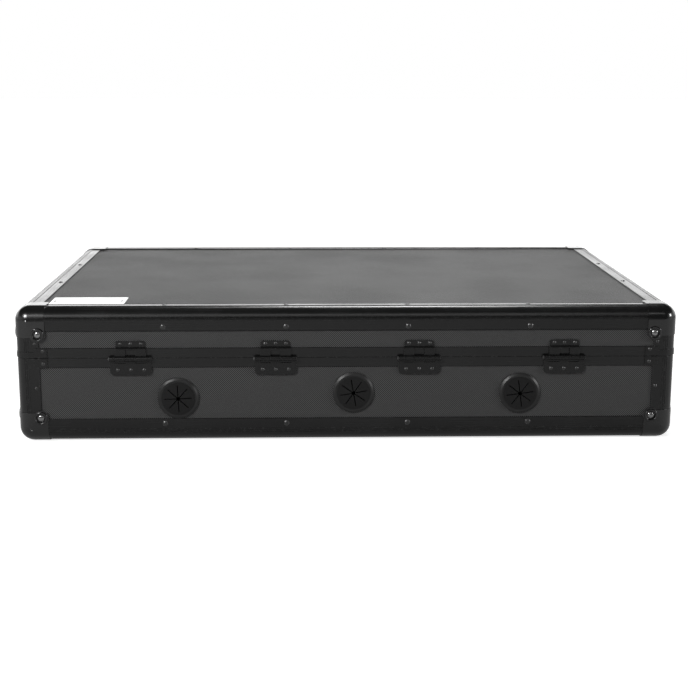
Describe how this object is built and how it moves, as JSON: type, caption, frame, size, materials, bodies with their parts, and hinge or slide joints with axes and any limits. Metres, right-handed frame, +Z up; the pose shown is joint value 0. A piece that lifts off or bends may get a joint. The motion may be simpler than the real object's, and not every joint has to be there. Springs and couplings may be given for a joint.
{
  "type": "pedalboard case",
  "caption": "Pedalboard in a hinged flight case: edge-profiled lid and base, corner caps, cable grommets, turn latches, handle and sloping slatted deck.",
  "frame": {"origin": "on the floor under the middle of the case", "axes": "+X along the hinge side, +Y from the hinges towards the handle and latches, +Z up"},
  "size_m": [0.804, 0.5607, 0.167],
  "materials": {
    "laminate": "black textured laminate on plywood",
    "edge_profile": "black anodised, satin",
    "closing_profile": "black anodised, satin",
    "corner_cap": "black powder coat, satin",
    "brace_steel": "black powder coat",
    "edge_rivet": "black, satin",
    "cap_rivet": "black, glossy",
    "hinge_steel": "black powder coat",
    "hinge_pin": "black zinc",
    "grommet_plastic": "moulded, satin",
    "grommet_rubber": "matt",
    "latch_steel": "black powder coat",
    "handle_steel": "black powder coat",
    "handle_grip": "moulded, matt",
    "deck_wood": "black stained plywood",
    "loop_fabric": "loop pile",
    "lid_foam": "convoluted foam",
    "name_plate": "brushed, blank"
  },
  "bodies": {
    "base": {"base_bottom_panel": "laminate", "base_cap_rivets": "cap_rivet", "base_corner_braces": "brace_steel", "base_corner_caps": "corner_cap", "base_corner_posts": "edge_profile", "base_edge_rivets": "edge_rivet", "base_front_closing": "closing_profile", "base_front_edge": "edge_profile", "base_front_panel": "laminate", "base_left_closing": "closing_profile", "base_left_edge": "edge_profile", "base_left_panel": "laminate", "base_rear_closing": "closing_profile", "base_rear_edge": "edge_profile", "base_rear_panel": "laminate", "base_right_closing": "closing_profile", "base_right_edge": "edge_profile", "base_right_panel": "laminate", "base_small_rivets": "edge_rivet", "deck_rails": "deck_wood", "deck_slats": "deck_wood", "grommet_lock_rings": "grommet_plastic", "grommet_ring_left": "grommet_plastic", "grommet_ring_middle": "grommet_plastic", "grommet_ring_right": "grommet_plastic", "grommet_star_left": "grommet_rubber", "grommet_star_middle": "grommet_rubber", "grommet_star_right": "grommet_rubber", "handle_plate": "handle_steel", "hinge_lower_leaves": "hinge_steel", "hinge_pins": "hinge_pin", "latch_plates": "latch_steel", "loop_strips": "loop_fabric"},
    "lid": {"hinge_upper_leaves": "hinge_steel", "latch_keepers": "latch_steel", "lid_cap_rivets": "cap_rivet", "lid_corner_braces": "brace_steel", "lid_corner_caps": "corner_cap", "lid_corner_posts": "edge_profile", "lid_edge_rivets": "edge_rivet", "lid_foam": "lid_foam", "lid_front_closing": "closing_profile", "lid_front_edge": "edge_profile", "lid_front_panel": "laminate", "lid_left_closing": "closing_profile", "lid_left_edge": "edge_profile", "lid_left_panel": "laminate", "lid_rear_closing": "closing_profile", "lid_rear_edge": "edge_profile", "lid_rear_panel": "laminate", "lid_right_closing": "closing_profile", "lid_right_edge": "edge_profile", "lid_right_panel": "laminate", "lid_small_rivets": "edge_rivet", "lid_top_panel": "laminate", "name_plate": "name_plate"},
    "latch_left": {"latch_cam_left": "latch_steel"},
    "latch_right": {"latch_cam_right": "latch_steel"},
    "handle": {"handle_bail": "handle_steel", "handle_grip": "handle_grip"}
  },
  "joints": [
    {"name": "lid_hinge", "type": "hinge", "parent": "base", "child": "lid", "pos_m": [0, -0.27355, 0.1045], "axis": [1, 0, 0], "range_deg": [0, 180]},
    {"name": "latch_left_turn", "type": "hinge", "parent": "base", "child": "latch_left", "pos_m": [-0.235, 0.26995, 0.082], "axis": [0, 1, 0], "range_deg": [0, 180]},
    {"name": "latch_right_turn", "type": "hinge", "parent": "base", "child": "latch_right", "pos_m": [0.235, 0.26995, 0.082], "axis": [0, 1, 0], "range_deg": [0, 180]},
    {"name": "handle_swing", "type": "hinge", "parent": "base", "child": "handle", "pos_m": [0, 0.27725, 0.08], "axis": [1, 0, 0], "range_deg": [0, 90]}
  ]
}
